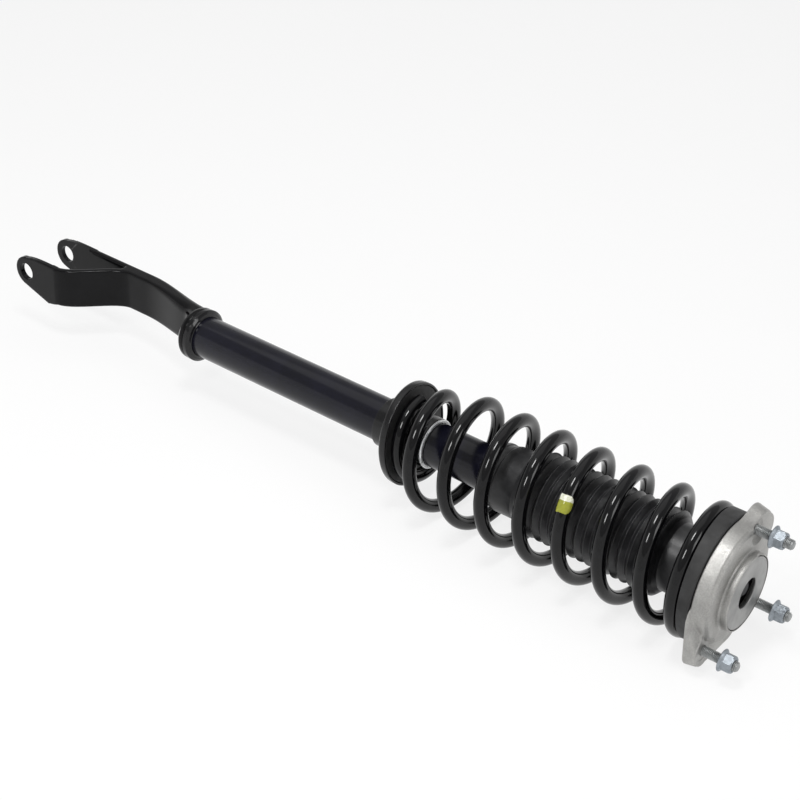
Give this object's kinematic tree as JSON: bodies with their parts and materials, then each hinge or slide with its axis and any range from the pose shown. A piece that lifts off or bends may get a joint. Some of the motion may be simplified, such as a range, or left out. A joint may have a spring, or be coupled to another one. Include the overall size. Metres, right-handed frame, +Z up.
{
  "type": "front strut assembly",
  "caption": "Front suspension strut: cranked fork below, gas damper tube, coil spring over a pleated dust boot, and a cast top mount with studs and flange nuts.",
  "frame": {"origin": "middle of the bounding box in plan, at the lowest point of the part as it lies", "axes": "+X along the strut from the fork to the top mount, +Y along the lower bolt, +Z up as the part lies with its ears upright"},
  "size_m": [0.9694, 0.13, 0.1328],
  "materials": {
    "black_paint": "semi-gloss black paint",
    "gloss_paint": "gloss black paint",
    "spring_paint": "high-gloss black paint",
    "rubber": "matte black rubber",
    "foam": "open-cell foam, pale yellow",
    "casting": "sand-blasted cast aluminium",
    "plate": "plated pressed steel",
    "zinc": "bright zinc plating",
    "steel": "bare turned steel",
    "chrome": "hard chrome, polished",
    "alloy": "machined aluminium"
  },
  "bodies": {
    "damper_body": {"fork_yoke": "black_paint", "fork_collar": "black_paint", "strut_tube": "gloss_paint", "tube_end_cap": "steel", "tube_top_cap": "black_paint", "lower_spring_seat": "black_paint", "lower_spring_pad": "rubber", "seat_locating_ring": "alloy", "coil_spring": "spring_paint", "rod_guide": "alloy", "rod_seal": "rubber", "dust_boot": "rubber"},
    "rod_assembly": {"piston_rod": "chrome", "rebound_stop": "rubber", "piston": "steel", "piston_band": "rubber", "piston_nut": "steel", "bump_stop": "foam", "bump_stop_cup": "steel", "upper_spring_isolator": "rubber", "top_mount_casting": "casting", "mount_bush_rubber": "rubber", "mount_bush_sleeve": "steel", "rod_washer": "zinc", "rod_nut": "zinc", "mount_cover_disc": "plate", "mount_stud_1": "zinc", "mount_stud_2": "zinc", "mount_stud_3": "zinc", "flange_nut_1": "zinc", "flange_nut_2": "zinc", "flange_nut_3": "zinc"},
    "gas_piston_body": {"gas_piston": "alloy", "gas_piston_ring": "rubber"}
  },
  "joints": [
    {"name": "damper_stroke", "type": "slide", "parent": "damper_body", "child": "rod_assembly", "axis": [-1, 0, 0], "range_m": [0, 0.11], "stiffness_N_per_m": 40000, "springref_m": -0.05, "deforming": ["coil_spring", "dust_boot"]},
    {"name": "gas_piston_slide", "type": "slide", "parent": "damper_body", "child": "gas_piston_body", "axis": [-1, 0, 0], "range_m": [0, 0.013]}
  ],
  "couplings": [
    {"joint": "gas_piston_slide", "follows": "damper_stroke", "ratio": 0.1166}
  ]
}
